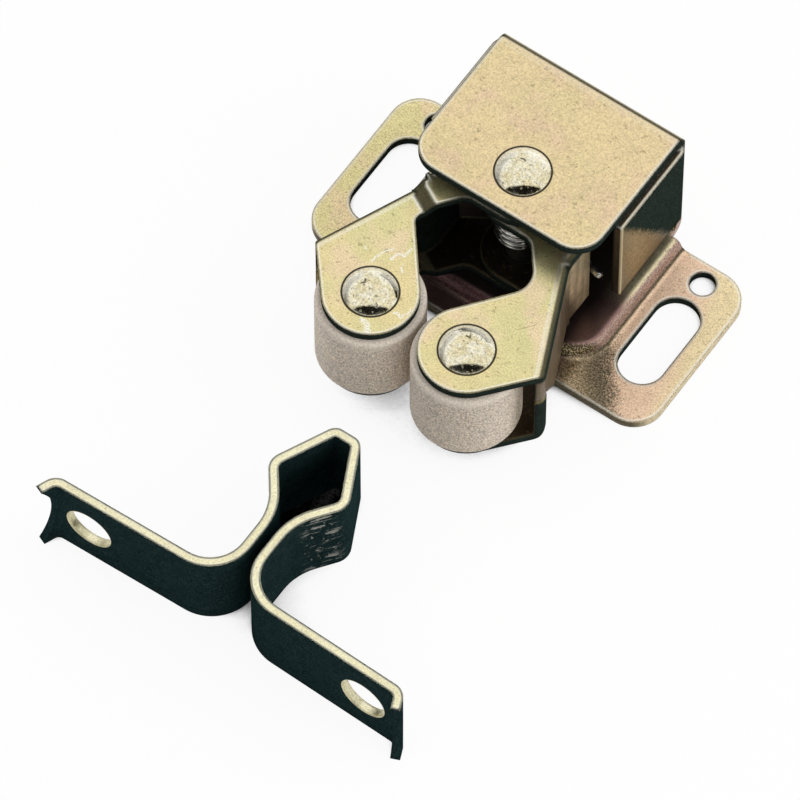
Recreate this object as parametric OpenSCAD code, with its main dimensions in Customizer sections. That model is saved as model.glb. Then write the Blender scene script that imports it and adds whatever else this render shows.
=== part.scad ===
// Double roller catch with its strike.
// The pivot axis stands on the origin, the mounting face is z = 0 and the rollers point to -Y.

/* [Housing] */
// Thickness of the housing sheet
sheet = 0.9; // [0.7:0.1:1.2]
// Width of the base over both ears
base_w = 37.4; // [36:0.1:44]
// Distance from the pivot to the front edge of the base
base_front = 8.1; // [7:0.1:10]
// Distance from the pivot to the back edge of the ears
ear_back = 9.7; // [9.3:0.1:10.2]
// Corner radius of the ears
ear_corner = 3; // [1:0.1:3.5]
// Height that the centre platform is embossed above the ears
platform_rise = 1.1; // [1:0.1:1.6]
// Width of the flat top of the platform
platform_w = 20; // [19.6:0.1:20.6]
// Distance from the pivot to the front edge of the platform
platform_front = 4.6; // [4:0.1:5.5]
// Corner radius of the platform
platform_corner = 2.6; // [1.5:0.1:3.5]
// Distance from the pivot to the outside of the back wall
wall_back = 11.4; // [10.9:0.1:13]
// Width of the cover and of the back wall under it
cover_w = 19.2; // [18:0.1:19.4]
// Distance from the pivot to the front edge of the cover
cover_front = 4.3; // [3.5:0.1:5.5]
// Corner radius at the front of the cover
cover_corner = 2.8; // [1:0.1:4]
// Room between the upper eye and the cover
head_room = 1.6; // [1:0.1:3]
// Outside radius of the folds in the housing
fold_r = 1.4; // [1.3:0.1:2]
// Distance over the two side wings
wing_span = 20.4; // [20:0.1:21]
// Distance from the pivot back to the front edge of the wings
wing_front = 0.6; // [0.3:0.1:3]
// Gap between the cover and the top of the wings
wing_gap = 0.4; // [0.2:0.1:1]
// Gap between the platform and the bottom of the wings
wing_clear = 2.8; // [1:0.1:5]

/* [Fixing holes] */
// Width of the screw slots
slot_w = 4.4; // [3.5:0.1:5]
// Length of the screw slots
slot_l = 9.8; // [8:0.1:10.2]
// Distance between the two screw slots
slot_spacing = 29.1; // [28.8:0.1:29.6]
// Distance from the pivot back to the middle of the slots
slot_back = 0.6; // [0:0.1:1]
// Diameter of the small pin holes
pin_hole_d = 2.4; // [1.5:0.1:2.6]
// Distance between the two pin holes
pin_spacing = 28.9; // [28:0.1:29.6]
// Distance from the pivot back to the pin holes
pin_back = 7.7; // [7.6:0.1:7.8]

/* [Arms] */
// Thickness of the arm sheet
arm_sheet = 0.85; // [0.7:0.05:1]
// Height of the arms over both plates
arm_h = 10.8; // [9:0.1:14]
// Gap between lapping eyes and under the lower one
eye_gap = 0.1; // [0.05:0.05:0.2]
// Radius of the eyes round the pivot
eye_r = 3.7; // [3.3:0.1:4]
// Distance from the pivot to the roller axes along the catch
reach = 16.1; // [15:0.1:19]
// Distance from the roller axis out to the web's front corner
web_out = 7.2; // [6.8:0.1:8]
// Distance from the roller axis back to the web's front corner
web_back = 1.7; // [1:0.1:2.5]
// Distance from the pivot to the outside of the web's tail
tail_x = 7.65; // [7.2:0.05:8]
// Distance from the pivot forward to the end of the web's tail
tail_end = 0.5; // [0.3:0.1:1]
// Outside radius of the folds in the arms
arm_fold = 0.95; // [0.9:0.05:1.1]
// Length of the joggle in the left arm
joggle_l = 1.3; // [1:0.1:2]
// Width of the tongue at the web's front edge
tongue_w = 0.95; // [0.7:0.05:1.2]
// Height of the tongue
tongue_h = 6.2; // [5:0.1:7]
// Height of the slit above the tongue
slit_h = 0.6; // [0.4:0.1:0.8]
// Length of the relief behind the tongue
relief_l = 4.2; // [3:0.1:5]
// Corner radius of the opening in the left arm
left_corner = 0.9; // [0.5:0.1:2]
// Corner radius of the opening in the right arm
right_corner = 2.3; // [0.5:0.1:2.5]

/* [Rollers and rivets] */
// Diameter of the rollers
roller_d = 10; // [9:0.1:11]
// Gap between the two rollers when the catch is shut
roller_gap = 0.3; // [0.3:0.1:1]
// Gap between a roller's end and the arm plate
roller_play = 0.15; // [0.1:0.05:0.3]
// Radius of the roller's rims
rim_r = 0.4; // [0.2:0.1:0.8]
// Diameter of the rivet shanks
shank_d = 3; // [2.6:0.1:3.2]
// Radial running clearance on the shanks
running_fit = 0.05; // [0.02:0.01:0.1]
// Diameter of the domed heads
head_d = 5; // [4.4:0.1:5.6]
// Height of the domed heads
head_h = 1.1; // [0.7:0.1:1.5]
// Diameter of the closed rivet tails
tail_d = 4.6; // [4.2:0.1:5]
// Height of the closed rivet tails
tail_h = 0.85; // [0.6:0.05:0.95]

/* [Spring] */
// Diameter of the spring wire
wire_d = 0.75; // [0.5:0.05:0.8]
// Clearance between the coil and the rivet
coil_clear = 0.3; // [0.3:0.05:0.5]
// Whole turns of the coil
coil_turns = 6; // [4:1:7]
// Rise of the coil in one turn
coil_pitch = 0.85; // [0.8:0.05:0.9]
// Length of the legs past the outside of the webs
leg_past = 0.9; // [0.3:0.1:1.5]

/* [Strike] */
// Thickness of the strike strip
strip_t = 0.9; // [0.7:0.1:1.2]
// Height of the strike strip
strip_h = 9.2; // [7:0.1:11]
// Distance from the pivot to the tip of the strike
tip_out = 26.8; // [26:0.1:60]
// Width of the tip over the strip
tip_w = 2.9; // [2.6:0.1:3.4]
// Width of the head over its shoulders
head_w = 8; // [7:0.1:9]
// Distance from the tip back to the shoulders
shoulder_back = 6.1; // [5.5:0.1:7]
// Distance from the tip back to the feet
feet_back = 18; // [17:0.1:22]
// Gap between the two strands at the waist
waist_gap = 0.9; // [0.6:0.1:1.4]
// Span of the feet over the bends of the claws
feet_span = 37.6; // [35:0.1:46]
// Angle that the feet lean away from the head
feet_sweep = 1.6; // [0:0.1:5]
// Inside radius of the bends between waist and feet
foot_bend = 3.45; // [2.5:0.05:4]
// Length of the claws
claw_l = 1.8; // [1.7:0.1:3.5]
// Angle of the claws against the feet
claw_turn = 66; // [50:1:80]
// Depth of the fishtail cut in the claws
fishtail = 1.4; // [0.5:0.1:1.5]
// Diameter of the screw holes in the feet
screw_d = 4.6; // [3.5:0.1:5]
// Distance between the screw holes
screw_spacing = 29.4; // [26:0.1:30]

/* [Hidden] */
$fn = 96;
nothing = 0.01;
hair = 0.002;
far = 60;

platform_top = platform_rise + sheet;
low_eye = platform_top + eye_gap;
arm_low = low_eye + arm_sheet + eye_gap;
arm_top = arm_low + arm_h;
high_eye = arm_top + eye_gap + arm_sheet;
cover_top = high_eye + head_room + sheet;
wing_low = platform_top + wing_clear;
wing_top = cover_top - sheet - wing_gap;
step_r = platform_rise * 0.7;
step_turn = acos(1 - platform_rise / (2 * step_r));
step_run = 2 * step_r * sin(step_turn);

roller_r = roller_d / 2;
roller_x = roller_r + roller_gap / 2;
roller_low = arm_low + arm_sheet + roller_play;
roller_high = arm_top - arm_sheet - roller_play;
axis_at = [roller_x, -reach];
end_r = roller_r - 0.6;
hole_r = shank_d / 2 + running_fit;

front = axis_at + [web_out, web_back];
knee = [tail_x, -0.235 * reach];
tail = [tail_x, -tail_end];
knee_r = 3;
lap = 0.15;
crease = 0.18;
web_dir = unit(front, knee);
web_in = [-web_dir[1], web_dir[0]];
web_turn = atan2(web_dir[1], web_dir[0]) - 90;
knee_in = along_x(front + web_in * arm_sheet, web_dir, tail_x - arm_sheet);
opening_back = [eye_r - 0.3, -eye_r];
opening_side = [tail_x - 1.25, -0.465 * reach];
joggle_at = [0.92 * tail_x, -0.39 * reach];
joggle_dir = 118.6;

coil_r = shank_d / 2 + coil_clear + wire_d / 2;
coil_high = arm_top - arm_sheet - eye_gap - wire_d / 2;
coil_low = coil_high - coil_turns * coil_pitch;
leg_y = -tail_end + wire_d / 2 + 0.05;
leg_x = tail_x + leg_past;
leave = atan2(leg_y, leg_x) + acos(coil_r / norm([leg_x, leg_y]));
sweep_a = 360 * coil_turns + 2 * (90 - leave);
coil_steps = coil_turns * 24;

half = strip_t / 2;
feet_y = -tip_out - feet_back;
shoulder = [head_w / 2 - half * 0.4, -tip_out - shoulder_back];
waist_x = waist_gap / 2 + half;
waist_top = along_x(shoulder, [-0.6, -0.8], waist_x);
foot_start = [waist_x, feet_y - waist_x * tan(feet_sweep)];
claw_at = [feet_span / 2 - half, feet_y - (feet_span / 2 - half) * tan(feet_sweep)];
claw_end = claw_at + polar(claw_l, -feet_sweep - claw_turn);
strike_half = [[tip_w / 2 - half * 0.8, -tip_out - half], shoulder, waist_top,
               foot_start, claw_at, claw_end];
strike_radii = [0.7, 1.3, 6, foot_bend + half, 1.1, 0];

function unit(a, b) = (b - a) / norm(b - a);
function along_x(p, d, x) = p + d * ((x - p[0]) / d[0]);
function polar(r, a) = r * [cos(a), sin(a)];
function turning(a, p, b) = cross(p - a, b - p);
function half_angle(a, p, b) = acos(unit(p, a) * unit(p, b)) / 2;

// Where the tangent from a point meets a circle, on the chosen side.
function touch(p, c, r, side) =
    c + polar(r, atan2(p[1] - c[1], p[0] - c[0]) + side * acos(r / norm(p - c)));

// What lies between a sharp corner and its arc.
module corner_piece(a, p, b, r) {
    h = half_angle(a, p, b);
    mid = (unit(p, a) + unit(p, b)) / norm(unit(p, a) + unit(p, b));
    centre = p + mid * r / sin(h);
    difference() {
        polygon([p - mid * 0.3, p + unit(p, a) * r / tan(h), p + unit(p, b) * r / tan(h)]);
        translate(centre) circle(r + hair);
    }
}

// An outline whose corners are true arcs, given anticlockwise with one radius a corner.
module rounded_outline(points, radii) {
    n = len(points);
    difference() {
        union() {
            polygon(points);
            for (i = [0 : n - 1])
                let (a = points[(i + n - 1) % n], p = points[i], b = points[(i + 1) % n])
                    if (radii[i] > 0 && turning(a, p, b) < 0)
                        corner_piece(a, p, b, radii[i]);
        }
        for (i = [0 : n - 1])
            let (a = points[(i + n - 1) % n], p = points[i], b = points[(i + 1) % n])
                if (radii[i] > 0 && turning(a, p, b) > 0)
                    corner_piece(a, p, b, radii[i]);
    }
}

// A strip of even thickness along a bent line, each bend a true arc at the given mid radius.
module bent_strip(points, radii, t) {
    n = len(points);
    function cut(i) = radii[i] == 0 ? 0
        : radii[i] / tan(half_angle(points[i - 1], points[i], points[i + 1]));
    function straight(i) = radii[i] == 0 ? 0 : cut(i) - nothing;
    for (i = [0 : n - 2]) {
        d = unit(points[i], points[i + 1]);
        side = [-d[1], d[0]] * t / 2;
        from = points[i] + d * straight(i);
        to = points[i + 1] - d * straight(i + 1);
        polygon([from - side, to - side, to + side, from + side]);
    }
    for (i = [1 : n - 2])
        if (radii[i] > 0) {
            a = unit(points[i], points[i - 1]);
            b = unit(points[i], points[i + 1]);
            mid = (a + b) / norm(a + b);
            turn = half_angle(points[i - 1], points[i], points[i + 1]);
            centre = points[i] + mid * radii[i] / sin(turn);
            start = points[i] + a * cut(i) - centre;
            stop = points[i] + b * cut(i) - centre;
            reach_out = 2 * (radii[i] + t) / radii[i];
            intersection() {
                translate(centre) difference() {
                    circle(radii[i] + t / 2 + hair);
                    circle(radii[i] - t / 2 - hair);
                }
                polygon([centre, centre + start * reach_out,
                         centre - mid * far / 6, centre + stop * reach_out]);
            }
        }
}

// The corner to take off an edge that is rounded with radius r, with the edge at the origin.
module edge_waste(r) {
    difference() {
        translate([-0.5, -0.9 * r]) square([0.9 * r + 0.5, 0.9 * r + 0.5]);
        translate([r, -r]) circle(r);
    }
}

module both_sides() {
    children();
    mirror([1, 0, 0]) children();
}

// Lays a drawing of (y, z) along x.
module along(length) {
    rotate([90, 0, 90]) linear_extrude(length) children();
}

module base_outline() {
    w = base_w / 2;
    neck = cover_w / 2;
    back = wall_back - fold_r;
    points = [[-w, -base_front], [w, -base_front], [w, ear_back], [neck, ear_back],
              [neck, back], [-neck, back], [-neck, ear_back], [-w, ear_back]];
    rounded_outline(points, [ear_corner, ear_corner, ear_corner, 0.3, 0, 0, 0.3, ear_corner]);
}

// Cross-section of the embossed step, two arcs from the platform down to the ear.
module step_profile() {
    difference() {
        union() {
            polygon([[-1, 0], [-1, platform_top], [0, platform_top],
                     [step_run / 2, sheet + platform_rise / 2], [step_run, sheet], [step_run, 0]]);
            translate([0, platform_top - step_r]) circle(step_r);
        }
        translate([step_run, sheet + step_r]) circle(step_r);
        translate([-far, -far]) square([2 * far, far]);
    }
}

module platform() {
    w = platform_w / 2;
    inner = [w - platform_corner, -platform_front + platform_corner];
    side_l = ear_back - inner[1];
    inset = 0.5;
    flat_w = w - inset;
    flat_f = platform_front - inset;
    linear_extrude(platform_top)
        rounded_outline([[-flat_w, -flat_f], [flat_w, -flat_f], [flat_w, ear_back], [-flat_w, ear_back]],
                        [platform_corner - inset, platform_corner - inset, 0, 0]);
    both_sides() {
        translate([w, ear_back, 0]) rotate([90, 0, 0]) linear_extrude(side_l) step_profile();
        translate(inner) rotate([0, 0, -90]) rotate_extrude(angle = 90)
            intersection() {
                translate([platform_corner, 0]) step_profile();
                square([far, far]);
            }
    }
    translate([-inner[0], -platform_front, 0]) rotate([0, 0, 90]) mirror([1, 0, 0]) rotate([90, 0, 0])
        linear_extrude(2 * inner[0]) step_profile();
}

// The hollow under the platform, where the pivot rivet is closed.
module platform_hollow() {
    w = platform_w / 2 + step_run - sheet;
    f = platform_front + step_run - sheet;
    translate([0, 0, -1]) linear_extrude(platform_rise + 1)
        rounded_outline([[-w, -f], [w, -f], [w, far], [-w, far]], [platform_corner, platform_corner, 0, 0]);
}

module fixing_holes() {
    half = (slot_l - slot_w) / 2;
    both_sides() translate([0, 0, -1]) linear_extrude(sheet + 2) {
        translate([slot_spacing / 2, slot_back]) {
            square([slot_w, 2 * half], center = true);
            translate([0, half]) circle(d = slot_w);
            translate([0, -half]) circle(d = slot_w);
        }
        translate([pin_spacing / 2, pin_back]) circle(d = pin_hole_d);
    }
}

// Platform, back wall and cover in one bent sheet, seen from the side.
module folded_back() {
    mid_y = wall_back - sheet / 2;
    mid_r = fold_r - sheet / 2;
    points = [[0, platform_top - sheet / 2], [mid_y, platform_top - sheet / 2],
              [mid_y, cover_top - sheet / 2], [-cover_front, cover_top - sheet / 2]];
    translate([-cover_w / 2, 0, 0]) along(cover_w) bent_strip(points, [0, mid_r, mid_r, 0], sheet);
}

module cover_corners() {
    w = cover_w / 2;
    corner = [w, -cover_front];
    both_sides() translate([0, 0, cover_top - sheet - 1]) linear_extrude(sheet + 2)
        corner_piece(corner - [1, 0], corner, corner + [0, 1], cover_corner);
}

module wings() {
    mid_x = wing_span / 2 - sheet / 2;
    mid_y = wall_back - sheet / 2;
    both_sides() translate([0, 0, wing_low]) linear_extrude(wing_top - wing_low)
        bent_strip([[cover_w / 2 - 4, mid_y], [mid_x, mid_y], [mid_x, wing_front]],
                   [0, fold_r - sheet / 2, 0], sheet);
}

module housing() {
    color("Tan") difference() {
        union() {
            linear_extrude(sheet) base_outline();
            platform();
            folded_back();
            wings();
        }
        platform_hollow();
        fixing_holes();
        cover_corners();
        translate([0, 0, -far]) linear_extrude(far) square(2 * far, center = true);
        cylinder(d = shank_d, h = far);
    }
}

// Plan of an arm's plates, drawn for the right arm.
module arm_outline(corner_r) {
    points = [front, knee, tail, touch(tail, [0, 0], eye_r - nothing, 1), [0, 0],
              touch(opening_back, [0, 0], eye_r - nothing, -1), opening_back, opening_side,
              touch(opening_side, axis_at, end_r - nothing, 1), axis_at,
              touch(front, axis_at, end_r - nothing, -1)];
    rounded_outline(points, [0.9, knee_r, 0, 0, 0, 0, 1.5, corner_r, 0, 0, 0]);
    circle(eye_r);
    translate(axis_at) circle(end_r);
}

// Plan of the space inside the web.
module inside_outline() {
    start = front + web_in * arm_sheet - web_dir * far / 3;
    rounded_outline([start, knee_in, [tail_x - arm_sheet, far / 2],
                     [-far / 2, far / 2], [-far / 2, start[1]]],
                    [0, knee_r + arm_sheet, 0, 0, 0]);
}

// Lays +X along the web from its front corner, with +Y to the inside.
module at_web() {
    translate(front) rotate([0, 0, web_turn + 90]) children();
}

// What a fold takes off between two points (along, z) of the web's outer edge.
module fold_run(from, to) {
    step = to - from;
    at_web() translate([from[0], 0, from[1]]) rotate([0, -atan2(step[1], step[0]), 0]) along(norm(step))
        edge_waste(arm_fold);
}

// The folds of the web up to its knee, with the edge at z = 0 in front and moved out by lift at the knee.
module front_folds(lift) {
    towards = polar(1, joggle_dir);
    start = (joggle_at - front) * towards / (web_dir * towards);
    ramp = joggle_l / (web_dir * towards);
    stop = norm(knee - front) - crease;
    if (lift > 0) {
        fold_run([-2, 0], [start + 2 * lap, 0]);
        fold_run([start, 0], [start + ramp, lift]);
        fold_run([start + ramp - lap, lift], [stop, lift]);
    } else
        fold_run([-2, 0], [stop, 0]);
}

module tail_fold() {
    translate(knee + [0, crease]) rotate([0, 0, 90]) along(far / 6) edge_waste(arm_fold);
}

// The relief behind the tongue at the web's lower front corner, with a slit above the tongue.
module web_relief() {
    out = 1.4;
    heel = 0.4;
    stop = tongue_w + relief_l;
    at_web() rotate([90, 0, 0]) translate([0, 0, -arm_sheet - nothing])
        linear_extrude(arm_sheet + nothing + out) {
            rounded_outline([[tongue_w, -1], [stop, -1], [stop, heel], [tongue_w, tongue_h + slit_h / 2]],
                            [0, 0, 1.2, 0]);
            translate([-out, tongue_h]) square([out + tongue_w + slit_h / 2, slit_h]);
        }
}

// Side view of a joggled arm: along is measured towards the pivot, each face moves out by lift.
module joggled_side(inset, lift) {
    low = arm_low + inset;
    high = arm_top - inset;
    polygon([[-far, low], [0, low], [joggle_l, low - lift], [far, low - lift],
             [far, high + lift], [joggle_l, high + lift], [0, high], [-far, high]]);
}

module joggled_space(inset, lift) {
    translate(joggle_at) rotate([0, 0, joggle_dir]) translate([0, far, 0]) rotate([90, 0, 0])
        linear_extrude(2 * far) joggled_side(inset, lift);
}

module at_both_faces(low, high) {
    translate([0, 0, high]) children();
    translate([0, 0, low]) mirror([0, 0, 1]) children();
}

// One arm drawn for the right side, its eyes moved out by lift.
module arm(lift, corner_r) {
    difference() {
        intersection() {
            translate([0, 0, -1]) linear_extrude(far) arm_outline(corner_r);
            joggled_space(0, lift);
        }
        intersection() {
            translate([0, 0, -1]) linear_extrude(far) inside_outline();
            joggled_space(arm_sheet, lift);
        }
        at_both_faces(arm_low, arm_top) front_folds(lift);
        at_both_faces(arm_low - lift, arm_top + lift) tail_fold();
        translate([0, 0, arm_low]) web_relief();
        translate([0, 0, -1]) cylinder(r = hole_r, h = far);
        translate([axis_at[0], axis_at[1], -1]) cylinder(d = shank_d, h = far);
    }
}

module right_arm() {
    color("Khaki") arm(0, right_corner);
}

module left_arm() {
    color("Khaki") mirror([1, 0, 0]) arm(arm_sheet + eye_gap, left_corner);
}

// A domed head on the plane z = 0.
module dome(d, h) {
    r = (d * d / 4 + h * h) / (2 * h);
    rotate_extrude() intersection() {
        translate([0, h - r]) circle(r);
        square([d / 2, h]);
    }
}

module roller() {
    color("Ivory") translate(axis_at) rotate_extrude()
        rounded_outline([[hole_r, roller_low], [roller_r, roller_low],
                         [roller_r, roller_high], [hole_r, roller_high]],
                        [0, rim_r, rim_r, 0]);
}

module right_roller() {
    roller();
}

module left_roller() {
    mirror([1, 0, 0]) roller();
}

module roller_rivet() {
    color("Gold") translate(axis_at) {
        translate([0, 0, arm_low - nothing]) cylinder(d = shank_d, h = arm_h + 2 * nothing);
        translate([0, 0, arm_top]) dome(head_d, head_h);
        translate([0, 0, arm_low]) mirror([0, 0, 1]) dome(tail_d, tail_h);
    }
}

module right_roller_rivet() {
    roller_rivet();
}

module left_roller_rivet() {
    mirror([1, 0, 0]) roller_rivet();
}

module pivot_rivet() {
    collar_low = high_eye + eye_gap;
    shank_l = cover_top - platform_rise;
    color("Gold") {
        translate([0, 0, platform_rise - nothing]) cylinder(d = shank_d, h = shank_l + 2 * nothing);
        translate([0, 0, collar_low]) cylinder(d = tail_d, h = cover_top - sheet - collar_low);
        translate([0, 0, cover_top]) dome(head_d, head_h);
        translate([0, 0, platform_rise]) mirror([0, 0, 1]) dome(tail_d, tail_h);
    }
}

// A point of the coil, from the left leg round and down to the right one.
function coil_point(i) =
    let (f = i / coil_steps, p = polar(coil_r, 180 - leave - f * sweep_a))
        [p[0], p[1], coil_high - f * (coil_high - coil_low)];

// A round wire along a line of points, with flat ends.
module wire(line, d) {
    n = len(line);
    sides = 10;
    function heading(i) = line[min(i + 1, n - 1)] - line[max(i - 1, 0)];
    function ring(i) =
        let (t = heading(i) / norm(heading(i)),
             s = cross(t, [0, 0, 1]) / norm(cross(t, [0, 0, 1])),
             u = cross(s, t))
            [for (k = [0 : sides - 1]) let (p = polar(d / 2, 360 * k / sides)) line[i] + p[0] * s + p[1] * u];
    rings = [for (i = [0 : n - 1]) each ring(i)];
    walls = [for (i = [0 : n - 2], k = [0 : sides - 1])
                let (a = i * sides + k, b = i * sides + (k + 1) % sides)
                    each [[a, b + sides, b], [a, a + sides, b + sides]]];
    ends = [[for (k = [0 : sides - 1]) k], [for (k = [sides - 1 : -1 : 0]) (n - 1) * sides + k]];
    polyhedron(rings, concat(walls, ends));
}

module torsion_spring() {
    line = concat([[-leg_x, leg_y, coil_high]],
                  [for (i = [0 : coil_steps]) coil_point(i)],
                  [[leg_x, leg_y, coil_low]]);
    color("DimGray") wire(line, wire_d);
}

function mirrored(points) = [for (p = points) [-p[0], p[1]]];
function reversed(list) = [for (i = [len(list) - 1 : -1 : 0]) list[i]];

module strike_screw_holes() {
    x = screw_spacing / 2;
    both_sides() translate([x, feet_y - x * tan(feet_sweep), strip_h / 2])
        rotate([90, 0, -feet_sweep]) cylinder(d = screw_d, h = 4, center = true);
}

// Hollow cuts that leave two points at the end of each claw.
module fishtails() {
    r = (strip_h * strip_h / 4 + fishtail * fishtail) / (2 * fishtail);
    turn = -feet_sweep - claw_turn;
    both_sides() translate(claw_end) rotate([0, 0, turn]) translate([r - fishtail, 0, strip_h / 2])
        rotate([90, 0, 0]) cylinder(r = r, h = 3, center = true);
}

module strike() {
    color("DarkKhaki") difference() {
        linear_extrude(strip_h)
            bent_strip(concat(reversed(mirrored(strike_half)), strike_half),
                       concat(reversed(strike_radii), strike_radii), strip_t);
        strike_screw_holes();
        fishtails();
    }
}

housing();
left_arm();
right_arm();
left_roller();
right_roller();
left_roller_rivet();
right_roller_rivet();
pivot_rivet();
torsion_spring();
strike();
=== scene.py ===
import math
from types import SimpleNamespace

import bpy
import numpy as np
from mathutils import Matrix


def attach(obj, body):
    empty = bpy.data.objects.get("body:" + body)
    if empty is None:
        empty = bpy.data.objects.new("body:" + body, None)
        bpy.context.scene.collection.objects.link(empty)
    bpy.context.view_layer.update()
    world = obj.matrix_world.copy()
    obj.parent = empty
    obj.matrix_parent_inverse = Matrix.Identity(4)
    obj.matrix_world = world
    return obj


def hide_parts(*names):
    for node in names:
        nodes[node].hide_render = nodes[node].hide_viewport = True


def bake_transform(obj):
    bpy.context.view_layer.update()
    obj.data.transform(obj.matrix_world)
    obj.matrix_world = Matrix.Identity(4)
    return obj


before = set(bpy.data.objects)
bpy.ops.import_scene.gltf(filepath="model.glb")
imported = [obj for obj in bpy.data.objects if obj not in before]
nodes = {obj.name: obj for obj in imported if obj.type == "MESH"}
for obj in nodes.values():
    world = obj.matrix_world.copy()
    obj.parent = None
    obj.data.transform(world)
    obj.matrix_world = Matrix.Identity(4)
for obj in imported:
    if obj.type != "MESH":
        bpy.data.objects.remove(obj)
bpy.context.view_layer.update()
mm = 0.001
grainDepth = 0.02 * mm                                  # depth of the bump in every finish
print("frame loaded:", ", ".join(sorted(nodes)))


# a socket that does arithmetic: every operator adds one Math node
class Sock:
    def __init__(self, paint, out):
        self.paint = paint
        self.out = out

    def math(self, kind, *others):
        made = self.paint.node("ShaderNodeMath", {"operation": kind}, dict(enumerate((self,) + others)))
        return made["Value"]

    def __add__(self, other):
        return self.math("ADD", other)

    def __mul__(self, other):
        return self.math("MULTIPLY", other)

    def __sub__(self, other):
        return self.math("SUBTRACT", other)

    def __rsub__(self, other):
        made = self.paint.node("ShaderNodeMath", {"operation": "SUBTRACT"}, {0: other, 1: self})
        return made["Value"]

    def __neg__(self):
        return self.math("MULTIPLY", -1.0)

    def __abs__(self):
        return self.math("ABSOLUTE")

    __radd__ = __add__
    __rmul__ = __mul__

    # smooth rise from 0 at low to 1 at high
    def rise(self, low, high):
        made = self.paint.node("ShaderNodeMapRange", {"interpolation_type": "SMOOTHSTEP"},
                               {"Value": self, "From Min": low, "From Max": high})
        return made["Result"]

    # smooth fall from 1 at low to 0 at high
    def fall(self, low, high):
        return 1 - self.rise(low, high)

    def top(self, other):
        return self.math("MAXIMUM", other)

    def least(self, other):
        return self.math("MINIMUM", other)


# one node tree and the few kinds of node that the finishes need
class Paint:
    def __init__(self, owner):
        owner.use_nodes = True
        self.tree = owner.node_tree
        self.tree.nodes.clear()

    def node(self, kind, settings, sockets):
        made = self.tree.nodes.new(kind)
        for key, value in settings.items():
            setattr(made, key, value)
        for key, value in sockets.items():
            if isinstance(value, Sock):
                self.tree.links.new(value.out, made.inputs[key])
            else:
                made.inputs[key].default_value = value
        outs = {index: Sock(self, out) for index, out in enumerate(made.outputs)}
        outs.update({out.name: Sock(self, out) for out in made.outputs})
        return outs

    def place(self):
        return self.node("ShaderNodeTexCoord", {}, {})["Object"]

    def axes(self, vector):
        apart = self.node("ShaderNodeSeparateXYZ", {}, {"Vector": vector})
        return apart["X"], apart["Y"], apart["Z"]

    # place in mm, and the same laid flat on the plan
    def millimetres(self, at):
        x, y, z = (axis * (1 / mm) for axis in self.axes(at))
        flat = self.node("ShaderNodeCombineXYZ", {}, {"X": x, "Y": y})["Vector"]
        return x, y, z, flat

    # grain per millimetre, so that sizes read as on the object
    def noise(self, vector, perMm, detail=2.0, rough=0.5, bend=0.0, out=0):
        made = self.node("ShaderNodeTexNoise", {}, {"Vector": vector, "Scale": perMm / mm, "Detail": detail,
                                                    "Roughness": rough, "Distortion": bend})
        return made[out]

    def stretch(self, vector, size):
        return self.node("ShaderNodeMapping", {}, {"Vector": vector, "Scale": size})["Vector"]

    def rgba(self, value):
        return value if isinstance(value, Sock) else (*value, 1.0)

    def colour(self, share, first, second):
        made = self.node("ShaderNodeMix", {"data_type": "RGBA"},
                         {0: share, 6: self.rgba(first), 7: self.rgba(second)})
        return made[2]

    # colour or vector times a number
    def shade(self, colour, amount):
        made = self.node("ShaderNodeVectorMath", {"operation": "SCALE"}, {0: colour, "Scale": amount})
        return made["Vector"]

    def vector(self, kind, first, second):
        return self.node("ShaderNodeVectorMath", {"operation": kind}, {0: first, 1: second})

    def dot(self, first, second):
        return self.vector("DOT_PRODUCT", first, second)["Value"]

    def distance(self, first, second):
        return self.vector("DISTANCE", first, second)["Value"]

    def most(self, marks):
        whole = marks[0]
        for mark in marks[1:]:
            whole = whole.top(mark)
        return whole

    # 1 within width mm of a line through the given points, laid flat on the plan
    def stroke(self, flat, width, points, core=0.3):
        marks = []
        for start, stop in zip(points, points[1:]):
            run = np.subtract(stop, start)
            away = self.vector("SUBTRACT", flat, (*start, 0.0))["Vector"]
            share = self.dot(away, (*(run / (run @ run)), 0.0)).top(0.0).least(1.0)
            foot = self.shade((*run, 0.0), share)
            marks.append(self.distance(away, foot).fall(core * width, width))
        return self.most(marks)

    # 1 on a thin circle round an upright axis
    def ring(self, flat, centre, radius, width, core=0.4):
        off = abs(self.distance(flat, (*centre, 0.0)) - radius)
        return off.fall(core * width, width)

    # normal of edges rounded by radius mm
    def rounded(self, radius, samples=6):
        return self.node("ShaderNodeBevel", {"samples": samples}, {"Radius": radius * mm})["Normal"]

    def surface(self, colour, metal, rough, height, look, rounded):
        bump = self.node("ShaderNodeBump", {}, {"Strength": look["lift"], "Distance": grainDepth,
                                                "Height": height, "Normal": rounded})["Normal"]
        skin = self.node("ShaderNodeBsdfPrincipled", {},
                         {"Base Color": colour, "Metallic": metal, "Roughness": rough, "Normal": bump,
                          "Specular IOR Level": look["specular"]})
        self.node("ShaderNodeOutputMaterial", {}, {"Surface": skin["BSDF"]})


def newFinish(name):
    finish = bpy.data.materials.new(name)
    return finish, Paint(finish)


def dress(piece, finish):
    piece.data.materials.clear()
    piece.data.materials.append(finish)


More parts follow.
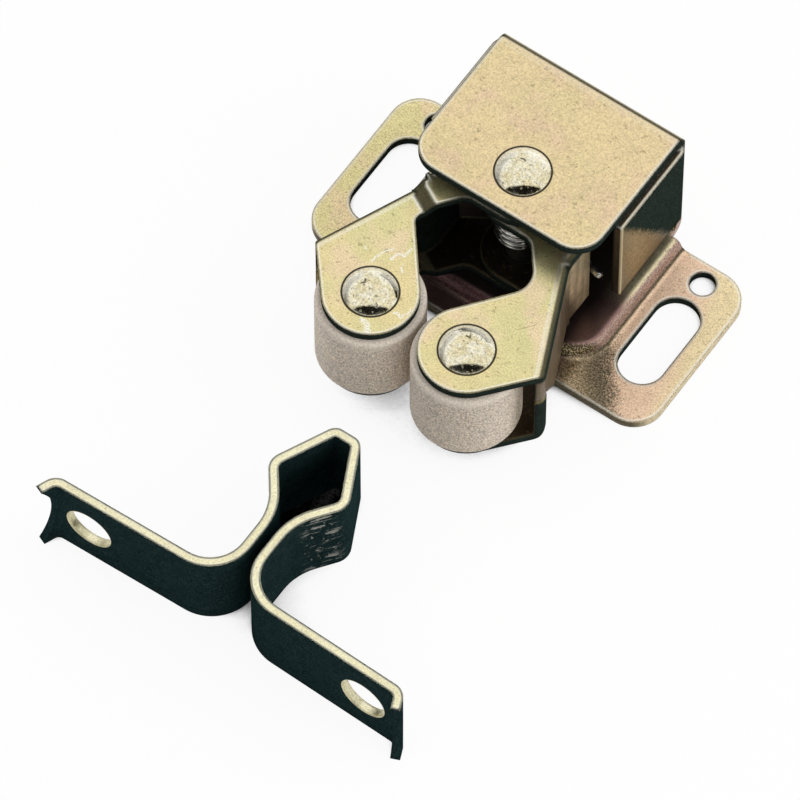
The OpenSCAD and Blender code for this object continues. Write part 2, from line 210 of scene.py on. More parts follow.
# plating of all sheet: a noise is (per mm, detail, roughness, bend), a pair is the two ends of a soft border
plateLook = {
    "gold": (0.80, 0.64, 0.37), "green": (0.77, 0.635, 0.355), "pink": (0.76, 0.545, 0.40),
    "pale": (1.0, 0.98, 0.87), "speck": (0.24, 0.18, 0.10), "line": (0.05, 0.042, 0.028),
    # wall: the colour of faces turned away from the top, a painted dark reflection standing for what upright
    # plated faces mirror
    "wall": (0.019, 0.027, 0.022),
    "grainNoise": (6.5, 3.0, 0.75), "grainFrom": (0.3, 0.7), "grain": 0.42,
    "mottleNoise": (0.9, 3.0, 0.6), "mottle": 0.3, "mottleLift": 1.5,
    "cloudNoise": (0.17, 2.0, 0.5, 0.6), "cloudFrom": (0.36, 0.64),
    "blushNoise": (0.31, 2.0, 0.5, 0.4), "blushFrom": (0.46, 0.70), "blush": 0.45,
    "speckNoise": (2.4, 2.0, 0.6), "speckFrom": (0.62, 0.70), "specks": 0.45,
    "edge": 0.50, "facing": (0.88, 0.935), "rimFrom": (0.0005, 0.005), "rim": 0.95,
    "headRing": 2.57, "ringWidth": 0.13,
    "metal": 0.90, "wallMetal": 0.7, "rough": 0.33, "roughMottle": 0.16, "roughSpecks": 0.1,
    "lift": 0.10, "specular": 0.0,
}


# what the plated finishes read: place in mm, rounded normal, grain, mottling, tint clouds and specks;
# grit, stain and flush are the same noises about zero
def plateGround(p, look):
    g = SimpleNamespace(at=p.place(), rounded=p.rounded(look["edge"]))
    g.x, g.y, g.z, g.flat = p.millimetres(g.at)
    g.nx, g.ny, g.nz = p.axes(g.rounded)
    face = p.node("ShaderNodeNewGeometry", {}, {})["Normal"]
    g.turned = 1 - p.dot(g.rounded, face)               # above 0 only beside an edge
    g.wide = abs(g.x)
    g.outward = g.nx * g.x                              # above 0 on faces turned away from the middle
    g.grain = p.noise(g.at, *look["grainNoise"]).rise(*look["grainFrom"])
    g.mottle = p.noise(g.at, *look["mottleNoise"])
    g.cloud = p.noise(g.at, *look["cloudNoise"])
    g.blush = p.noise(g.at, *look["blushNoise"])
    g.specks = p.noise(g.at, *look["speckNoise"]).rise(*look["speckFrom"])
    g.grit, g.stain, g.flush = (noise - 0.5 for noise in (g.grain, g.mottle, g.blush))
    return g


# upper faces: gold and greenish tints in slow clouds with a blush of pink
def plateTint(p, g, look):
    tint = p.colour(g.cloud.rise(*look["cloudFrom"]), look["gold"], look["green"])
    return p.colour(look["blush"] * g.blush.rise(*look["blushFrom"]), tint, look["pink"])


# grain, mottling and dark specks over the tint
def plateGrain(p, g, tint, look):
    grained = p.shade(tint, 1 + look["grain"] * g.grit + look["mottle"] * g.stain)
    return p.colour(g.specks * look["specks"], grained, look["speck"])


# joins upper faces and walls: gold with a pale rim along the edges where a face looks up, a painted
# highlight, and the wall's colour elsewhere
def plateJoin(p, g, gold, wall, goldMetal, wallMetal, look):
    facing = g.nz.rise(*look["facing"])
    # painted highlight: a pale line where an upper face starts to round over an edge
    rim = g.turned.rise(*look["rimFrom"]) * facing
    colour = p.colour(facing, wall, p.colour(look["rim"] * rim, gold, look["pale"]))
    metal = facing * goldMetal + (1 - facing) * wallMetal
    rough = look["rough"] + look["roughMottle"] * g.stain + look["roughSpecks"] * g.specks
    p.surface(colour, metal, rough, g.grain + look["mottleLift"] * g.mottle, look, g.rounded)


# the housing's places are in mm in its own frame; a share is how far a colour covers what lies under it
housingLook = dict(
    plateLook,
    lowTo=(2.3, 2.9), baseTo=(1.0, 1.4),
    earGold=(0.90, 0.735, 0.44), earFrom=(10.0, 11.5), earGrain=0.35, earMetal=0.35, dullFrom=(9.7, 10.4),
    earPink=(0.95, 0.66, 0.475), pinkFrom=(8.5, 10.5), pinkTo=(15.6, 18.2), pinkLean=0.25, pinkWander=3,
    pinkShare=0.85,
    leftEar=(0.85, 0.75, 0.38), leftPink=(0.90, 0.715, 0.43), leftEarTo=(-11.0, -9.0),
    leftBlush=(0.42, 0.62),
    armShade=(0.175, 0.143, 0.092), armShadePale=(0.49, 0.375, 0.228), armShadeDeep=(5.5, 8.5), armShadeFrom=(-9.5, -8.5),
    armShadeTo=(8.7, 11.2), armShadeLean=0.71, armShadeWander=2.5, armShadeGrain=1.6, armShadeShare=0.95,
    mauve=(0.30, 0.17, 0.165), ledge=(0.95, 0.84, 0.53), ledgeFrom=(1.6, 1.9), ledgeGold=(0.5, 3.5),
    ledgeShare=0.9,
    cavity=(0.05, 0.034, 0.036), plum=(0.21, 0.115, 0.115), pocketTo=(7.5, 10.0), plumTo=(-6.5, -4.5),
    pocketShare=0.92,
    slope=(0.42, 0.29, 0.235), slopeFrom=(0.92, 1.02), slopeFoot=(1.05, 1.3), slopeFront=(-0.5, -0.2),
    spark=(0.50, 0.40, 0.22), sparkFrom=(0.6, 0.85), sparkWide=(6.5, 8.5),
    wingFacing=(4.0, 7.0), wingFrom=(3.6, 4.4), wingTo=(16.0, 16.3), wingEdge=(0.01, 0.06), wingEdgeDark=0.6,
    wingTopWide=((9.15, 9.25), (9.85, 9.95)), wingTopHigh=((15.5, 15.7), (16.2, 16.3)), wingTopShare=0.9,
    olive=(0.265, 0.19, 0.088), oliveLine=16.9, oliveLean=1.45, oliveGrain=0.5, oliveWander=1.6,
    oliveSoft=(-0.9, 0.9), oliveTone=1.16, oliveBack=((2.0, 8.0), 0.5), oliveFront=((1.0, 3.2), 0.35),
    oliveFoot=((3.5, 8.0), 0.3),
    back=(0.36, 0.285, 0.15), backFacing=(0.5, 0.8), backFrom=(1.0, 1.5),
    cutEdge=(0.10, 0.076, 0.045), cutFacing=(-0.85, -0.6), cutWide=(9.1, 9.3), cutFrom=(4.0, 4.6),
    trim=(0.62, 0.52, 0.33), trimDark=(0.10, 0.08, 0.048), trimTo=(1.0, 1.2), trimFront=(-0.9, -0.4),
    trimMetal=0.6, slotX=14.5, slotWide=(2.5, 2.7), slotLong=((-5.8, -5.4), (9.05, 9.2)),
    cornerHigh=((4.0, 4.6), (16.0, 16.2)), cornerFront=(0.75, 0.9), cornerWide=(9.98, 10.08),
    cornerShare=0.9,
    creaseWide=(11.7, 12.0), creaseFrom=(-6.3, -6.0), wallGrain=1.1,
)


# ears pink and gold, painted shade on the base before the arms, and a ledge beside each wing painted pale as
# painted light
def housingTint(p, g, look):
    tint = p.colour(g.ear, plateTint(p, g, look), look["earGold"])
    wander = g.x + look["pinkLean"] * g.y + look["pinkWander"] * g.flush
    pinkEar = g.low * g.x.rise(*look["pinkFrom"]) * wander.fall(*look["pinkTo"])
    tint = p.colour(look["pinkShare"] * pinkEar, tint, look["earPink"])
    leftTint = p.colour(g.blush.rise(*look["leftBlush"]), look["leftEar"], look["leftPink"])
    tint = p.colour(g.low * g.x.fall(*look["leftEarTo"]), tint, leftTint)
    # painted shade: the base's top before the arms darkened, standing for the arms' shadow and the dark
    # reflection of their webs
    reach = g.wide + look["armShadeLean"] * g.y + look["armShadeWander"] * g.stain
    armShade = p.colour(reach.rise(*look["armShadeDeep"]), look["armShadePale"], look["armShade"])
    armShade = p.shade(armShade, 1 + look["armShadeGrain"] * g.grit)
    front = g.z.fall(*look["baseTo"]) * g.x.rise(*look["armShadeFrom"])
    front = front * (reach + look["armShadeGrain"] * g.grit).fall(*look["armShadeTo"])
    tint = p.colour(look["armShadeShare"] * front, tint, armShade)
    # painted light: the ledge beside each wing painted pale, as if lit from the side, mauve towards its front
    ledge = g.low * g.z.rise(*look["ledgeFrom"])
    ledgeTint = p.colour(g.y.rise(*look["ledgeGold"]), look["mauve"], look["ledge"])
    return p.colour(look["ledgeShare"] * ledge, tint, ledgeTint)


# upper faces: the tint with its grain, painted shade in the pocket under the cover and in dark lines round
# the head and along the wings' tops
def housingGold(p, g, look):
    earGrain = look["grain"] * (1 + look["earGrain"] * g.ear)
    gold = plateGrain(p, g, housingTint(p, g, look), dict(look, grain=earGrain))
    # painted shade: the base's pocket under the cover and the arms painted dark, plum towards its front
    pocket = g.low * g.wide.fall(*look["pocketTo"])
    pocketTint = p.colour(g.y.fall(*look["plumTo"]), look["cavity"], look["plum"])
    gold = p.colour(look["pocketShare"] * pocket, gold, pocketTint)
    # painted shade: a dark ring round the pivot rivet's head, where it meets the cover
    gold = p.colour(p.ring(g.flat, (0.0, 0.0), look["headRing"], look["ringWidth"]), gold, look["line"])
    # painted shade: a dark line along each wing's upper cut edge, in the gap under the cover
    (inner, outer), (foot, head) = look["wingTopWide"], look["wingTopHigh"]
    wingTop = g.wide.rise(*inner) * g.wide.fall(*outer) * g.z.rise(*foot) * g.z.fall(*head)
    return p.colour(look["wingTopShare"] * wingTop, gold, look["line"])


# walls: wings painted dark as a painted reflection, with an olive lower corner, a brown back, gold trim round
# the base, a mauve step
def housingWall(p, g, look):
    # painted shade on the olive: darker towards the back, the front edge and the foot
    backOff, frontOff, footOff = look["oliveBack"], look["oliveFront"], look["oliveFoot"]
    tone = look["oliveTone"] - backOff[1] * g.y.rise(*backOff[0]) - frontOff[1] * g.y.fall(*frontOff[0])
    tone = tone - footOff[1] * g.z.fall(*footOff[0])
    wall = p.colour(g.olive, look["wall"], p.shade(look["olive"], tone))
    wall = p.colour(g.back, wall, look["back"])
    wall = p.colour(g.cutEdge, wall, look["cutEdge"])
    trim = p.colour(g.ny.fall(*look["trimFront"]), look["trim"], look["trimDark"])
    wall = p.colour(g.trim, wall, trim)
    sparks = p.colour(g.grain.rise(*look["sparkFrom"]), look["trimDark"], look["spark"])
    # painted shade: the step turns plum where it runs beyond the arms' webs
    sparks = p.colour(g.wide.rise(*look["sparkWide"]), look["plum"], sparks)
    foot = p.colour(g.z.fall(*look["slopeFoot"]), look["slope"], look["trimDark"])
    wall = p.colour(g.slope, wall, p.colour(g.ny.fall(*look["slopeFront"]), foot, sparks))
    # painted shade: the wings and their cut edges darker where their edges round off
    edge = look["wingEdgeDark"] * g.wing.top(g.cutEdge) * g.turned.rise(*look["wingEdge"])
    wall = p.shade(wall, (1 + look["wallGrain"] * g.grit) * (1 - edge))
    foot, head = look["cornerHigh"]
    corner = g.z.rise(*foot) * g.z.fall(*head) * g.y.fall(*look["cornerFront"])
    corner = corner * g.wide.rise(*look["cornerWide"])
    return p.colour(look["cornerShare"] * corner, wall, look["trim"])


# housing: masks of its parts first, then gold upper faces and walls painted dark as a painted reflection
def housingFinish(name, look):
    finish, p = newFinish(name)
    g = plateGround(p, look)
    g.low = g.z.fall(*look["lowTo"])
    g.ear = g.low * g.wide.rise(*look["earFrom"])
    g.slope = g.low * g.z.rise(*look["slopeFrom"])
    g.wing = g.outward.rise(*look["wingFacing"]) * g.z.rise(*look["wingFrom"]) * g.z.fall(*look["wingTo"])
    # the olive corner: where the wings' painted dark reflection gives way to olive, along a slanting border
    border = look["oliveLine"] - g.z - look["oliveLean"] * g.y
    border = border + look["oliveGrain"] * g.grit + look["oliveWander"] * g.stain
    g.olive = g.wing * border.rise(*look["oliveSoft"])
    g.back = g.ny.rise(*look["backFacing"]) * g.z.rise(*look["backFrom"])
    g.cutEdge = g.ny.fall(*look["cutFacing"]) * g.wide.rise(*look["cutWide"]) * g.z.rise(*look["cutFrom"])
    front, rear = look["slotLong"]
    inSlot = abs(g.wide - look["slotX"]).fall(*look["slotWide"]) * g.y.rise(*front) * g.y.fall(*rear)
    g.trim = g.z.fall(*look["trimTo"]) * (1 - inSlot) * (1 - g.slope)
    crease = g.low * g.wide.fall(*look["creaseWide"]) * g.y.rise(*look["creaseFrom"])
    dull = g.low * g.wide.rise(*look["dullFrom"])
    goldMetal = look["metal"] + dull * (look["earMetal"] - look["metal"])
    bare = p.most([g.olive, g.back, g.cutEdge, g.slope, look["trimMetal"] * g.trim])
    plateJoin(p, g, housingGold(p, g, look), housingWall(p, g, look), goldMetal, look["wallMetal"] * bare,
              dict(look, rim=look["rim"] * (1 - crease)))                 # no pale rim on the step's folds
    return finish


# scratches and scores are (width, points) in mm on the plan
armLook = dict(
    plateLook, gold=(0.81, 0.69, 0.365), green=(0.75, 0.69, 0.35), pink=(0.87, 0.69, 0.45), blush=0.8,
    edge=0.48, upperFrom=(12.4, 12.9), lower=(0.075, 0.056, 0.035), lowerTo=(5.0, 7.0),
    web=(0.135, 0.10, 0.06), webFacing=(2.5, 5.0), webFrom=(3.2, 3.6), webTo=(12.5, 13.1),
    webNoise=(1.5, 2.0, 0.6), webStretch=(1.0, 1.0, 0.1), webStreaks=1.8,
    tongueFront=(-13.5, -13.2), tongueTo=(9.2, 9.7),
    tail=(0.36, 0.285, 0.175), tailFrom=(-4.4, -3.0), tailLean=0.35, tailHigh=8, tailWander=1.5,
    inside=(0.55, 0.43, 0.23), insideFacing=(-5.0, -2.5), insideFront=(-12.5, -10.5), insideTo=(9.2, 11.0),
    insideMetal=0.5, ramp=(0.10, 0.09, 0.05), rampFacing=(0.5, 0.75), wallGrain=0.5, wallMottle=0.8,
    headAt=((-5.15, -16.1), (5.15, -16.1)), wobble=0.9, wobbleSize=1.1,
    scratch=0.95, scratchGrain=(0.1, 0.6), score=0.45,
    scratches=((0.15, ((-6.76, -13.56), (-6.94, -13.0), (-6.65, -12.3), (-6.02, -11.35))),
               (0.21, ((-5.42, -12.2), (-5.29, -11.6), (-4.73, -11.46), (-4.71, -10.56))),
               (0.12, ((-4.36, -12.22), (-3.94, -12.81))),
               (0.34, ((-4.0, -18.8), (-3.1, -19.4))),
               (0.13, ((-8.32, -12.58), (-8.06, -12.71))),
               (0.17, ((-2.2, -16.63), (-1.45, -16.62), (-1.27, -15.48)))),
    scores=((0.06, ((0.86, -14.88), (2.02, -15.02))),
            (0.08, ((7.53, -11.85), (8.41, -11.1), (8.73, -10.2)))),
)


# upper plates: greenish gold with scratches, scores and a painted shade ring round each rivet head; lower
# plates in painted shade
def armGold(p, g, look):
    # painted shade: the lower plates dark brown under the upper ones
    tint = p.colour(g.z.fall(*look["lowerTo"]), plateTint(p, g, look), look["lower"])
    gold = plateGrain(p, g, tint, look)
    sway = p.noise(g.at, look["wobbleSize"], out="Color")
    sway = p.shade(p.vector("SUBTRACT", sway, (0.5, 0.5, 0.5))["Vector"], look["wobble"])
    drawn = p.vector("MULTIPLY", p.vector("ADD", g.flat, sway)["Vector"], (1.0, 1.0, 0.0))["Vector"]
    scratched = g.upper * p.most([p.stroke(drawn, *mark) for mark in look["scratches"]])
    scratched = look["scratch"] * scratched * g.grain.rise(*look["scratchGrain"])
    gold = p.colour(scratched, gold, look["pale"])
    scored = g.upper * p.most([p.stroke(drawn, *mark) for mark in look["scores"]])
    gold = p.colour(look["score"] * scored, gold, look["speck"])
    # painted shade: a dark ring round each rivet head, where it meets the plate
    rings = p.most([p.ring(g.flat, spot, look["headRing"], look["ringWidth"]) for spot in look["headAt"]])
    return p.colour(g.upper * rings, gold, look["line"])


# arms: gold plates, a brown web outside with drawn streaks, lighter within, cut edges and ramps painted dark
# as painted reflection
def armFinish(name, look):
    finish, p = newFinish(name)
    g = plateGround(p, look)
    g.upper = g.z.rise(*look["upperFrom"])
    tongue = g.y.fall(*look["tongueFront"]) * g.z.fall(*look["tongueTo"])
    tail = g.y + look["tailLean"] * (g.z - look["tailHigh"]) + look["tailWander"] * g.stain
    web = g.outward.rise(*look["webFacing"]) * g.z.rise(*look["webFrom"]) * g.z.fall(*look["webTo"])
    web = web * (1 - tongue)
    streaks = p.noise(p.stretch(g.at, look["webStretch"]), *look["webNoise"])
    inside = g.outward.fall(*look["insideFacing"]) * g.y.fall(*look["insideFront"])
    inside = inside * g.z.fall(*look["insideTo"])
    wall = p.colour(web, look["wall"], p.colour(tail.rise(*look["tailFrom"]), look["web"], look["tail"]))
    wall = p.shade(wall, 1 + look["webStreaks"] * web * (streaks - 0.5))
    wall = p.colour(inside, wall, look["inside"])
    # painted reflection: bends and ramps that lean partway up painted dark
    wall = p.colour(g.nz.rise(*look["rampFacing"]), wall, look["ramp"])
    wall = p.shade(wall, 1 + look["wallGrain"] * g.grit + look["wallMottle"] * g.stain)
    wallMetal = look["wallMetal"] * web.top(look["insideMetal"] * inside)
    plateJoin(p, g, armGold(p, g, look), wall, look["metal"], wallMetal,
              dict(look, rim=look["rim"] * g.upper))                      # pale rims on the upper plates only
    return finish


strikeLook = dict(
    plateLook, gold=(0.92, 0.86, 0.58), green=(0.88, 0.815, 0.53), blush=0.0, specks=0.3,
    # wall: the upright faces' painted dark reflection, green-black
    wall=(0.0125, 0.027, 0.028), wallGrain=1.1, wallMottle=0.6, edge=0.44, facing=(0.955, 0.99),
    streak=0.32, streakNoise=(1.3, 2.0, 0.5), streakStretch=(0.22, 0.22, 1.5), streakFrom=(0.54, 0.64),
    streakMottle=(0.40, 0.56), streakSpecks=0.8, streakAt=(3.0, -35.0), streakTo=(0.8, 2.3),
    streakElse=0.015,
    holeX=14.7, holeZ=4.6, holeTo=(2.32, 2.38), holeTone=0.75,
)


# strike: upright faces painted dark green-black as a painted reflection, rubbed in level streaks on the head,
# pale gold on the sheared edges
def strikeFinish(name, look):
    finish, p = newFinish(name)
    g = plateGround(p, look)
    gold = plateGrain(p, g, plateTint(p, g, look), look)
    streaks = p.noise(p.stretch(g.at, look["streakStretch"]), *look["streakNoise"]).rise(*look["streakFrom"])
    streaks = (streaks * g.mottle.rise(*look["streakMottle"])).top(look["streakSpecks"] * g.specks)
    paled = p.distance(g.flat, (*look["streakAt"], 0.0)).fall(*look["streakTo"])
    paled = look["streakElse"] + (1 - look["streakElse"]) * paled
    wall = p.colour(look["streak"] * streaks * paled, look["wall"], look["pale"])
    wall = p.shade(wall, 1 + look["wallGrain"] * g.grit + look["wallMottle"] * g.stain)
    beside = g.wide - look["holeX"]
    above = g.z - look["holeZ"]
    bore = (beside * beside + above * above).math("SQRT").fall(*look["holeTo"])
    wall = p.colour(bore, wall, p.shade(gold, look["holeTone"]))
    plateJoin(p, g, gold, wall, look["metal"], look["metal"] * bore, look)
    return finish


dress(nodes["housing"], housingFinish("goldPlatedHousing", housingLook))
plateOfArms = armFinish("goldPlatedArms", armLook)
for side in ("left", "right"):
    dress(nodes[side + "_arm"], plateOfArms)
dress(nodes["strike"], strikeFinish("platedStrikePaintedDark", strikeLook))
print("plated sheet painted")


# dents are (width, points) in mm on the plan, one row for each head and one more speck
rivetLook = {
    "gold": (0.74, 0.66, 0.42), "pale": (0.84, 0.79, 0.62), "rim": (0.95, 0.91, 0.76),
    "pit": (0.08, 0.065, 0.04), "shank": (0.03, 0.032, 0.028), "edge": 0.06, "headFrom": (0.25, 0.5),
    "grainNoise": (4.6, 3.0, 0.7), "grainFrom": (0.3, 0.7), "grain": 0.55,
    "blotchNoise": (1.1, 3.0, 0.65, 0.8), "blotchFrom": (0.4, 0.62),
    "pitNoise": (2.6, 2.0, 0.5), "pitFrom": (0.64, 0.70), "pits": 0.55,
    "rimFrom": (0.25, 0.5), "dullFrom": (0.30, 0.55), "dull": 0.6,
    "rough": 0.10, "roughBlotch": 0.2, "roughPits": 0.15, "lift": 0.5, "specular": 0.1,
    "dentsFrom": (12.5, 13.5), "dentDark": 0.85, "dentDepth": 2,
    "dents": ((0.16, ((-5.95, -16.24), (-5.75, -16.1), (-5.91, -15.78))),
              (0.13, ((4.64, -15.4), (5.03, -15.44), (4.9, -15.2))),
              (0.08, ((4.75, -16.0), (4.8, -16.05))),
              (0.14, ((-0.56, 0.51), (-0.25, 0.6), (-0.1, 0.46)))),
}


# upset rivet steel: pale and bright, blotched and pitted where the die struck it; its shank painted dark as a
# painted reflection, the back and left of a head painted paler as painted light
def rivetFinish(name, look):
    finish, p = newFinish(name)
    at = p.place()
    z, flat = p.millimetres(at)[2:]
    rounded = p.rounded(look["edge"])
    across, away, upright = p.axes(rounded)
    shaded = away.top(-across)                          # the back and the left of a head, which are duller
    facing = upright.rise(*look["headFrom"])
    grain = p.noise(at, *look["grainNoise"]).rise(*look["grainFrom"])
    blotch = p.noise(at, *look["blotchNoise"])
    pits = p.noise(at, *look["pitNoise"]).rise(*look["pitFrom"])
    dents = p.most([p.stroke(flat, *mark) for mark in look["dents"]]) * z.rise(*look["dentsFrom"])
    pale = p.colour(blotch.rise(*look["blotchFrom"]), look["gold"], look["pale"])
    # painted light: the back and the left of a head, which mirror the dim sky, painted in the paler rim
    # colour with less metal
    pale = p.colour(shaded.rise(*look["rimFrom"]), pale, look["rim"])
    pale = p.shade(pale, 1 + look["grain"] * (grain - 0.5))
    pale = p.colour((look["pits"] * pits).top(look["dentDark"] * dents), pale, look["pit"])
    # painted reflection: the shank and other upright faces painted dark
    colour = p.colour(facing, look["shank"], pale)
    rough = look["rough"] + look["roughBlotch"] * (blotch - 0.5) + look["roughPits"] * pits
    metal = facing * (1.0 - look["dull"] * shaded.rise(*look["dullFrom"]))
    p.surface(colour, metal, rough, blotch - pits - look["dentDepth"] * dents, look, rounded)
    return finish


rivetSteel = rivetFinish("brightRivetSteel", rivetLook)
for name in ("left_roller_rivet", "right_roller_rivet", "pivot_rivet"):
    dress(nodes[name], rivetSteel)

rollerLook = {
    # scuff: the pale colour of the scuffs, also used for the painted light on the upper rim
    "warm": (0.70, 0.59, 0.475), "grey": (0.655, 0.565, 0.465), "scuff": (0.80, 0.72, 0.62),
    "tones": {"left": 1.0, "right": 0.88}, "edge": 0.2,
    "grainNoise": (6.0, 3.0, 0.8), "grainFrom": (0.3, 0.7), "grain": 1.3,
    "cloudNoise": (0.3, 2.0, 0.5), "cloudFrom": (0.35, 0.65),
    "scuffNoise": (2.2, 2.0, 0.5), "scuffStretch": (1.0, 1.0, 0.12), "scuffFrom": (0.62, 0.75),
    "scuffs": 0.3,
    "litRimFrom": (11.9 * mm, 12.5 * mm), "paled": 0.55,
    "rough": 0.55, "roughGrain": 0.15, "lift": 0.2, "specular": 0.25,
}


# moulded roller: grey-beige matt plastic with a speckled skin and faint upright scuffs, painted paler round
# the upper rim as painted light
def rollerFinish(name, look, tone):
    finish, p = newFinish(name)
    at = p.place()
    grain = p.noise(at, *look["grainNoise"]).rise(*look["grainFrom"])
    cloud = p.noise(at, *look["cloudNoise"])
    scuff = p.noise(p.stretch(at, look["scuffStretch"]), *look["scuffNoise"]).rise(*look["scuffFrom"])
    colour = p.colour(cloud.rise(*look["cloudFrom"]), look["warm"], look["grey"])
    colour = p.shade(colour, tone * (1 + look["grain"] * (grain - 0.5)))
    # painted light: the upper rim, which faces up, painted paler in the scuff colour
    paled = p.axes(at)[2].rise(*look["litRimFrom"])    # paler round the upper rim
    colour = p.colour((look["scuffs"] * scuff).top(look["paled"] * paled), colour, look["scuff"])
    rough = look["rough"] + look["roughGrain"] * (grain - 0.5)
    p.surface(colour, 0.0, rough, grain, look, p.rounded(look["edge"]))
    return finish


# painted shade: the right roller's copy is darker by its tone than the left's
for side, tone in rollerLook["tones"].items():
    dress(nodes[side + "_roller"], rollerFinish(side + "RollerPlastic", rollerLook, tone))
print("rivets and rollers painted")


# closed tube: point(i, k) = path(i) + r(i) * (cos(k) side + sin(k) over), closed by a fan at both ends
def tubeMesh(name, path, radius, sides, endSize):
    along = np.gradient(path, axis=0)
    along /= np.linalg.norm(along, axis=1, keepdims=True)
    side = np.cross(along, (0.0, 0.0, 1.0))
    side /= np.linalg.norm(side, axis=1, keepdims=True)
    over = np.cross(side, along)
    turn = np.linspace(0, 2 * np.pi, sides, endpoint=False)
    swell = np.full(len(path), radius)
    swell[[0, -1]] *= endSize                           # ends slightly rounded
    rings = path[:, None] + swell[:, None, None] * (np.cos(turn)[None, :, None] * side[:, None]
                                                    + np.sin(turn)[None, :, None] * over[:, None])
    points = np.concatenate((rings.reshape(-1, 3), path[[0, -1]]))
    ring, spoke = np.meshgrid(np.arange(len(path) - 1), np.arange(sides), indexing="ij")
    a = ring * sides + spoke
    b = ring * sides + (spoke + 1) % sides
    walls = np.stack((a, a + sides, b + sides, b), -1).reshape(-1, 4)
    k = np.arange(sides)
    last = (len(path) - 1) * sides
    nose = np.stack((np.full(sides, len(points) - 2), k, (k + 1) % sides), -1)
    tail = np.stack((np.full(sides, len(points) - 1), last + (k + 1) % sides, last + k), -1)
    mesh = bpy.data.meshes.new(name)
    mesh.from_pydata(points.tolist(), [], walls.tolist() + nose.tolist() + tail.tolist())
    mesh.polygons.foreach_set("use_smooth", np.ones(len(mesh.polygons), bool))
    mesh.update()
    piece = bpy.data.objects.new(name, mesh)
    bpy.context.scene.collection.objects.link(piece)
    return piece


# the spring in mm: a coil round the pivot rivet and a straight leg to each arm's web
springShape = {"wire": 0.75, "coil": 2.175, "high": 12.525, "low": 7.425, "turns": 6, "steps": 64,
               "sides": 16, "legX": 8.55, "legY": -0.075, "legSteps": 40, "bendStep": 28, "endSize": 0.75}


# coil(t) = (r cos a, r sin a, z) with a running down from the left tangent and z falling evenly
def springCoilPath(s):
    legLong = math.hypot(s["legX"], s["legY"])
    leave = math.atan2(s["legY"], s["legX"]) + math.acos(s["coil"] / legLong)
    sweep = 2 * math.pi * s["turns"] + 2 * (math.pi / 2 - leave)
    t = np.linspace(0, 1, s["turns"] * s["steps"] + 1)
    a = math.pi - leave - t * sweep
    z = s["high"] - t * (s["high"] - s["low"])
    return np.stack((s["coil"] * np.cos(a), s["coil"] * np.sin(a), z), -1)


# leg(t) = straight line from the coil's end to the tip
def springLegPath(start, tip, steps):
    t = np.linspace(0, 1, steps)[:, None]
    return start * (1 - t) + tip * t


wireLook = {
    "dark": (0.34, 0.335, 0.31), "bright": (0.72, 0.71, 0.66), "edge": 0.05, "metal": 0.95,
    "dullNoise": (1.2, 2.0, 0.5), "dullFrom": (0.4, 0.6), "grainNoise": (4.6, 2.0, 0.6), "grain": 0.4,
    "base": 0.8, "rough": 0.16, "roughDull": 0.15, "lift": 0.05, "specular": 0.2,
}


# hard-drawn wire: plain bright steel with fine dull patches
def wireFinish(name, look):
    finish, p = newFinish(name)
    at = p.place()
    dull = p.noise(at, *look["dullNoise"])
    grain = p.noise(at, *look["grainNoise"])
    colour = p.colour(dull.rise(*look["dullFrom"]), look["dark"], look["bright"])
    colour = p.shade(colour, look["base"] + look["grain"] * grain)
    rough = look["rough"] + look["roughDull"] * (dull - 0.5)
    p.surface(colour, look["metal"], rough, grain, look, p.rounded(look["edge"]))
    return finish


# one length of spring wire, painted and standing for the spring's solid
def windWire(name, path, finish):
    wire = tubeMesh(name, path, springShape["wire"] / 2 * mm, springShape["sides"], springShape["endSize"])
    dress(wire, finish)
    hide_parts("torsion_spring")
    return wire


coilPath = springCoilPath(springShape)
springSteel = wireFinish("drawnSpringWire", wireLook)
coil = windWire("springCoil", coilPath * mm, springSteel)
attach(coil, "base")
for side, sign, end, height in (("left", -1, 0, "high"), ("right", 1, -1, "low")):
    tip = np.array((sign * springShape["legX"], springShape["legY"], springShape[height]))
    legPath = springLegPath(coilPath[end], tip, springShape["legSteps"]) * mm
    leg = windWire(side + "SpringLeg", legPath, springSteel)
    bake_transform(leg)
print("spring wound")


# studio: pale floor, an even bright sky with one dark panel high on the camera's side, one wide soft lamp
studio = {
    "floor": (0.95, 0.95, 0.945), "white": 0.92, "floorHalf": 2, "floorPoints": 9, "floorDrop": 0.02 * mm,
    "deep": (0.05, 0.05, 0.05), "deepReach": 12 * mm, "deepFrom": (0.2, 0.4), "deepSamples": 16,
    "sky": 0.97, "panel": 0.01, "panelFrom": (0.50, 0.54), "panelAbove": (0.70, 0.73),
    "leftDim": 0.85, "leftFrom": (0.1, 0.7), "leftBelow": (0.2, 0.45),
    "lampPower": 0.36, "lampSize": 0.25, "lampAt": (0.27, 0.10, 0.24), "lampTurn": (0.0, 0.85, 0.35),
}
# focal length in pixels is pixels per mm times the distance in mm
view = {"azimuth": 34.9137, "elevation": 60.505, "distance": 0.9, "across": 10.845 * mm,
        "aloft": 11.647 * mm, "focalPixels": 11.1469 * 900, "imagePixels": 800, "sensor": 36.0,
        "clip": (0.05, 20.0)}

azimuth = math.radians(view["azimuth"])
elevation = math.radians(view["elevation"])
towardsCamera = np.array((math.sin(azimuth), -math.cos(azimuth), 0.0))
rightward = np.array((math.cos(azimuth), math.sin(azimuth), 0.0))
backward = towardsCamera * math.cos(elevation) + np.array((0.0, 0.0, math.sin(elevation)))
upward = np.cross(backward, rightward)


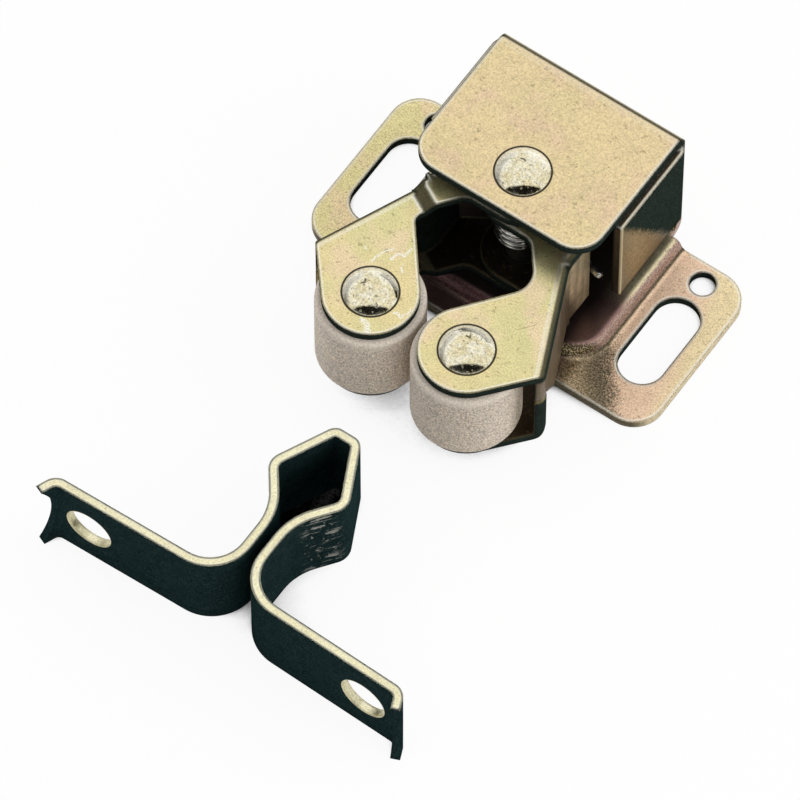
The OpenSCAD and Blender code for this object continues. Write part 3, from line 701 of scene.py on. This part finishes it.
def makeCamera():
    lens = bpy.data.cameras.new("photoCamera")
    lens.sensor_width = view["sensor"]
    lens.lens = view["sensor"] * view["focalPixels"] / view["imagePixels"]
    lens.clip_start, lens.clip_end = view["clip"]
    camera = bpy.data.objects.new("photoCamera", lens)
    spot = view["distance"] * backward - view["across"] * rightward - view["aloft"] * upward
    rows = np.column_stack((rightward, upward, backward, spot)).tolist()
    camera.matrix_world = Matrix((*rows, (0, 0, 0, 1)))
    bpy.context.scene.collection.objects.link(camera)
    bpy.context.scene.camera = camera


# white paper where it is seen directly or in metal, with painted shade only deep inside the strike's head
def paperFinish(name):
    finish, p = newFinish(name)
    rays = p.node("ShaderNodeLightPath", {}, {})
    seen = rays["Is Camera Ray"].top(rays["Is Glossy Ray"]).top(rays["Is Transmission Ray"])
    paper = p.node("ShaderNodeBsdfDiffuse", {}, {"Color": (*studio["floor"], 1.0)})["BSDF"]
    # painted shade: the paper darkened and its glow dimmed where occlusion says it is closed in
    openness = p.node("ShaderNodeAmbientOcclusion", {"samples": studio["deepSamples"]},
                      {"Distance": studio["deepReach"]})["AO"].rise(*studio["deepFrom"])
    shown = p.colour(openness, studio["deep"], studio["floor"])
    shown = p.node("ShaderNodeBsdfDiffuse", {}, {"Color": shown})["BSDF"]
    glow = p.colour(openness, (0, 0, 0), (1, 1, 1))
    glow = p.node("ShaderNodeEmission", {}, {"Color": glow, "Strength": 1.0})
    shown = p.node("ShaderNodeMixShader", {}, {0: studio["white"], 1: shown, 2: glow["Emission"]})["Shader"]
    both = p.node("ShaderNodeMixShader", {}, {0: seen, 1: paper, 2: shown})["Shader"]
    p.node("ShaderNodeOutputMaterial", {}, {"Surface": both})
    return finish


# floor(u, v) = flat square grid just under the base
def makeFloor():
    count = studio["floorPoints"]
    line = np.linspace(-studio["floorHalf"], studio["floorHalf"], count)
    u, v = np.meshgrid(line, line, indexing="ij")
    points = np.stack((u, v, np.full_like(u, -studio["floorDrop"])), -1).reshape(-1, 3)
    i, j = np.meshgrid(np.arange(count - 1), np.arange(count - 1), indexing="ij")
    a = (i * count + j).ravel()
    mesh = bpy.data.meshes.new("paleFloor")
    mesh.from_pydata(points.tolist(), [], np.stack((a, a + count, a + count + 1, a + 1), -1).tolist())
    floor = bpy.data.objects.new("paleFloor", mesh)
    bpy.context.scene.collection.objects.link(floor)
    dress(floor, paperFinish("paleFloorPaper"))


def makeSky():
    sky = bpy.data.worlds.new("studioSky")
    bpy.context.scene.world = sky
    p = Paint(sky)
    look = p.node("ShaderNodeTexCoord", {}, {})["Generated"]
    # the panel is what a face would mirror when it leans to the camera by more than panelFrom
    lean = p.vector("NORMALIZE", p.vector("ADD", look, backward.tolist())["Vector"], (0, 0, 0))["Vector"]
    towards = p.dot(lean, towardsCamera.tolist())
    panel = towards.rise(*studio["panelFrom"]) * p.axes(lean)[2].rise(*studio["panelAbove"])
    leftward = p.dot(look, (-rightward).tolist())
    dim = studio["leftDim"] * leftward.rise(*studio["leftFrom"]) * p.axes(look)[2].fall(*studio["leftBelow"])
    light = studio["sky"] * (1 - dim)
    light = light + panel * (studio["panel"] - light)
    back = p.node("ShaderNodeBackground", {}, {"Color": (1, 1, 1, 1), "Strength": light})["Background"]
    p.node("ShaderNodeOutputWorld", {}, {"Surface": back})


def makeLamp():
    lamp = bpy.data.lights.new("softLamp", "AREA")
    lamp.energy = studio["lampPower"]
    lamp.size = studio["lampSize"]
    holder = bpy.data.objects.new("softLamp", lamp)
    holder.location = studio["lampAt"]
    holder.rotation_euler = studio["lampTurn"]
    holder.visible_glossy = False                       # soft light only, no square glint
    bpy.context.scene.collection.objects.link(holder)


makeCamera()
makeFloor()
makeSky()
makeLamp()
bpy.context.scene.view_settings.view_transform = "Standard"
print("studio set")
